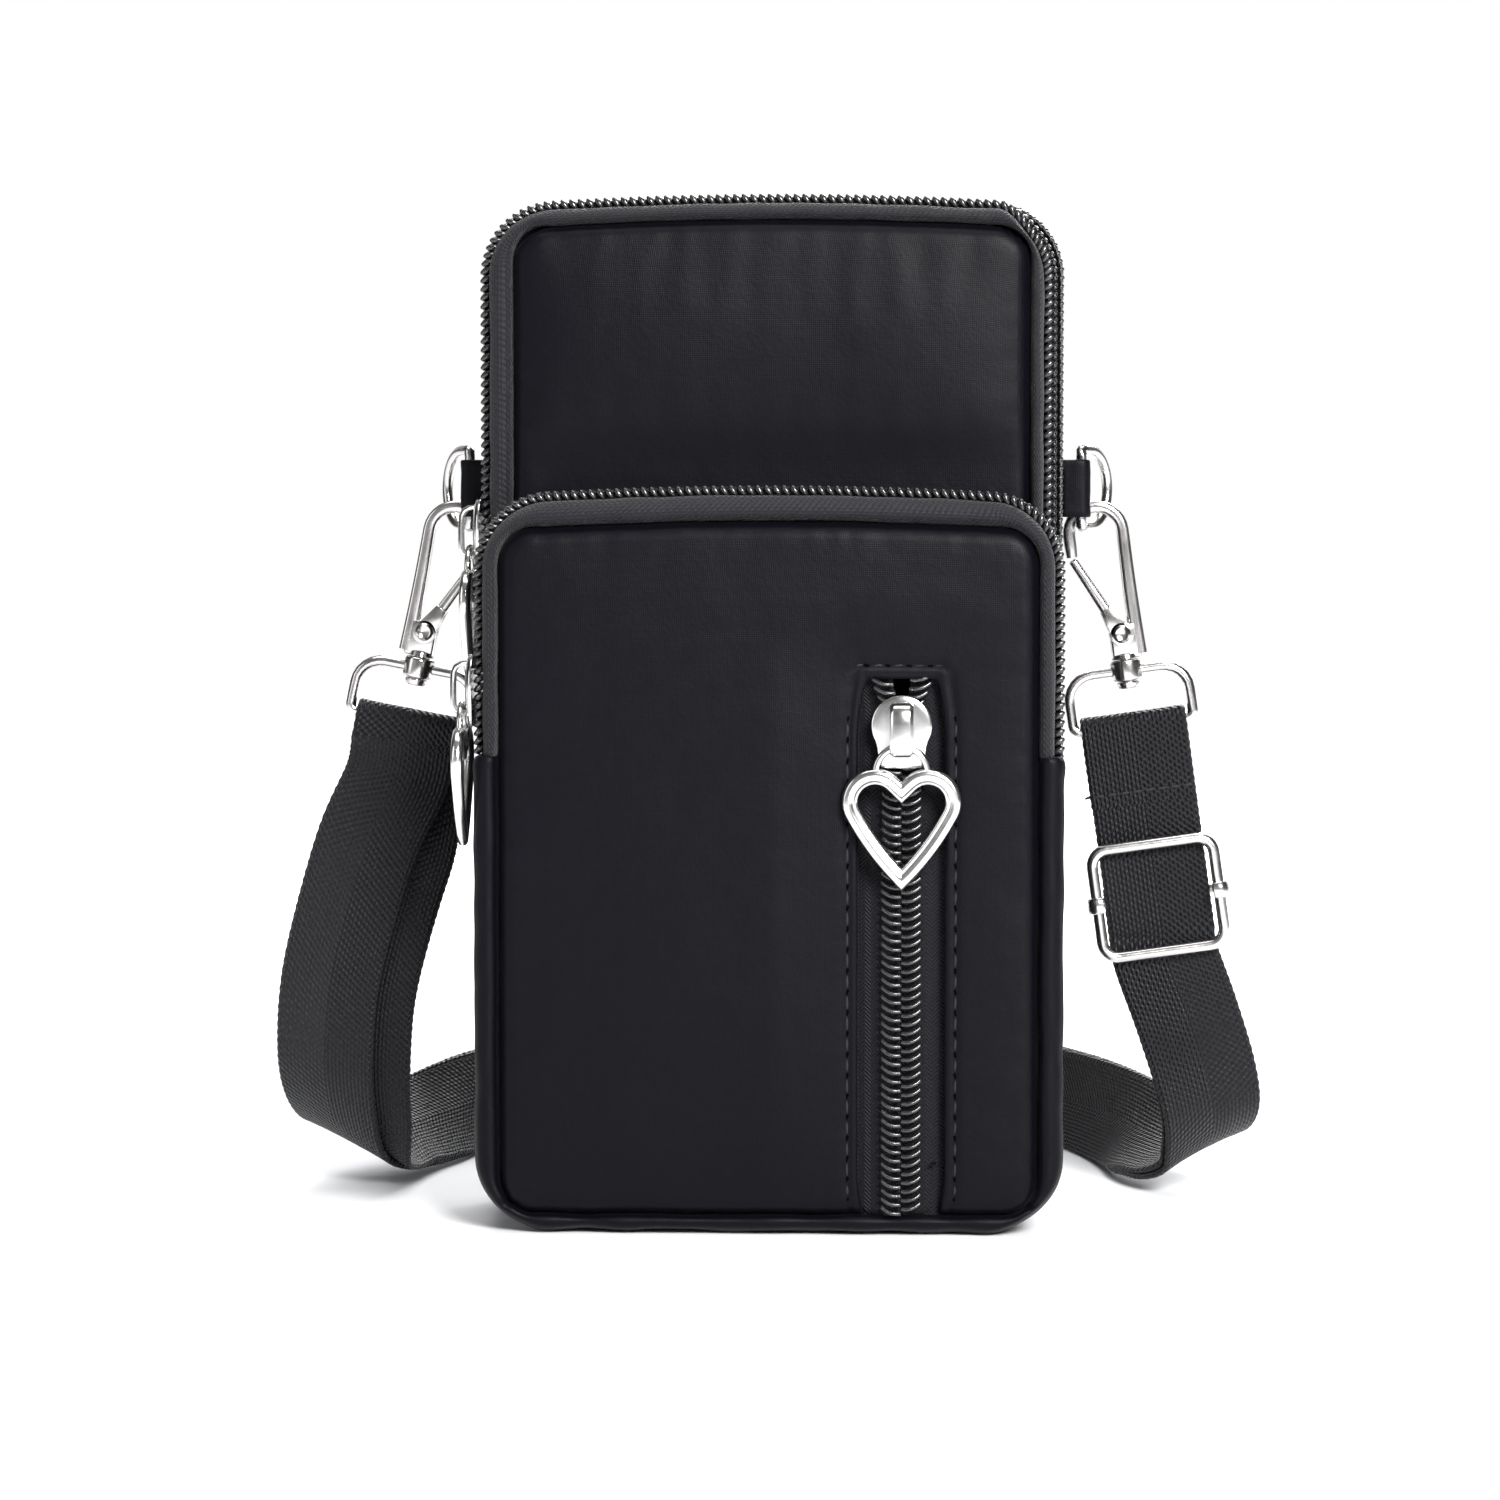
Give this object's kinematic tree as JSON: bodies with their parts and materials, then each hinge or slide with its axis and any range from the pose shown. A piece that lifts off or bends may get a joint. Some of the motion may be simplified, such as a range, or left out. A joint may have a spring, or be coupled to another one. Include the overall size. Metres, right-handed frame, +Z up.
{
  "type": "phone pouch",
  "caption": "Upright black nylon phone pouch with a zipped body, zipped front pocket, heart zip pulls, side D-rings and a clip-on webbing strap with adjuster.",
  "frame": {"origin": "centre of the pouch's flat base, on the surface it stands on", "axes": "+Z up, -Y towards the front pocket, +X to the viewer's right"},
  "size_m": [0.1897, 0.1544, 0.19],
  "materials": {
    "nylon": "black satin nylon",
    "foam": "thin padding foam",
    "lining": "thin black lining",
    "zip_tape": "woven black zip tape",
    "zip_coil": "black nylon coil",
    "bright_plate": "bright plated casting",
    "nickel": "bright nickel plate",
    "spring_steel": "spring steel",
    "webbing": "black woven webbing"
  },
  "bodies": {
    "pouch": {"back_panel": "nylon", "back_foam": "foam", "back_lining": "lining", "main_gusset_upper": "nylon", "main_gusset_lower": "nylon", "main_zip_tape_rear": "zip_tape", "main_zip_tape_front": "zip_tape", "main_coil_rear": "zip_coil", "main_coil_front": "zip_coil", "main_front_panel": "nylon", "main_front_lining": "lining", "pocket_gusset_upper": "nylon", "pocket_gusset_lower": "nylon", "pocket_zip_tape_rear": "zip_tape", "pocket_zip_tape_front": "zip_tape", "pocket_coil_rear": "zip_coil", "pocket_coil_front": "zip_coil", "pocket_front_panel": "nylon", "pocket_front_lining": "lining", "zip_pocket_bag": "lining", "front_zip_tape_left": "zip_tape", "front_zip_tape_right": "zip_tape", "front_coil_left": "zip_coil", "front_coil_right": "zip_coil", "front_zip_stops": "bright_plate", "tab_left": "nylon", "tab_right": "nylon", "strap_ring_left": "nickel", "strap_ring_right": "nickel", "strap_fold_left": "webbing", "strap_fold_right": "webbing", "strap_outer_run": "webbing", "strap_inner_run": "webbing"},
    "main_slider": {"main_slider": "bright_plate"},
    "main_pull": {"main_pull": "bright_plate"},
    "pocket_slider": {"pocket_slider": "bright_plate"},
    "pocket_pull": {"pocket_pull": "bright_plate"},
    "front_slider": {"front_slider": "bright_plate"},
    "front_pull": {"front_pull": "bright_plate"},
    "dring_left": {"dring_left": "nickel"},
    "dring_right": {"dring_right": "nickel"},
    "hook_left": {"hook_left": "nickel", "gate_rivet_left": "nickel", "gate_spring_left": "spring_steel"},
    "hook_right": {"hook_right": "nickel", "gate_rivet_right": "nickel", "gate_spring_right": "spring_steel"},
    "gate_left": {"gate_left": "nickel"},
    "gate_right": {"gate_right": "nickel"},
    "adjuster": {"adjuster_frame": "nickel", "adjuster_bar": "nickel", "strap_end_fold": "webbing"}
  },
  "joints": [
    {"name": "main_zip_slide", "type": "slide", "parent": "pouch", "child": "main_slider", "axis": [0, 0, 1], "range_m": [-0.018, 0.044]},
    {"name": "main_pull_hinge", "type": "hinge", "parent": "main_slider", "child": "main_pull", "pos_m": [-0.0564, 0.0035, 0.12476], "axis": [0, 1, 0], "range_deg": [0, 140]},
    {"name": "pocket_zip_slide", "type": "slide", "parent": "pouch", "child": "pocket_slider", "axis": [0, 0, 1], "range_m": [-0.0055, 0.018]},
    {"name": "pocket_pull_hinge", "type": "hinge", "parent": "pocket_slider", "child": "pocket_pull", "pos_m": [-0.056, -0.014, 0.09626], "axis": [0, 1, 0], "range_deg": [0, 140]},
    {"name": "front_zip_slide", "type": "slide", "parent": "pouch", "child": "front_slider", "axis": [0, 0, 1], "range_m": [-0.078, 0.003]},
    {"name": "front_pull_hinge", "type": "hinge", "parent": "front_slider", "child": "front_pull", "pos_m": [0.0242, -0.0233, 0.08906], "axis": [-1, 0, 0], "range_deg": [0, 140]},
    {"name": "dring_left_hinge", "type": "hinge", "parent": "pouch", "child": "dring_left", "pos_m": [-0.0579, 0.0166, 0.136], "axis": [0, 0, -1], "range_deg": [-5, 5]},
    {"name": "dring_right_hinge", "type": "hinge", "parent": "pouch", "child": "dring_right", "pos_m": [0.0579, 0.0166, 0.136], "axis": [0, 0, 1], "range_deg": [-5, 5]},
    {"name": "hook_left_swivel", "type": "hinge", "parent": "pouch", "child": "hook_left", "pos_m": [-0.06699, 0.0205, 0.1087], "axis": [0.1908, 0, 0.9816], "range_deg": [-6, 6]},
    {"name": "hook_right_swivel", "type": "hinge", "parent": "pouch", "child": "hook_right", "pos_m": [0.0658, 0.0205, 0.10838], "axis": [-0.1392, 0, 0.9903], "range_deg": [-6, 6]},
    {"name": "gate_left_hinge", "type": "hinge", "parent": "hook_left", "child": "gate_left", "pos_m": [-0.06699, 0.0205, 0.1087], "axis": [0, -1, 0], "range_deg": [0, 20], "stiffness_Nm_per_rad": 0.004, "springref_deg": -17.19},
    {"name": "gate_right_hinge", "type": "hinge", "parent": "hook_right", "child": "gate_right", "pos_m": [0.0658, 0.0205, 0.10838], "axis": [0, 1, 0], "range_deg": [0, 20], "stiffness_Nm_per_rad": 0.004, "springref_deg": -17.19},
    {"name": "adjuster_slide", "type": "slide", "parent": "pouch", "child": "adjuster", "axis": [-0.1392, 0, 0.9903], "range_m": [0, 0.0045]}
  ]
}
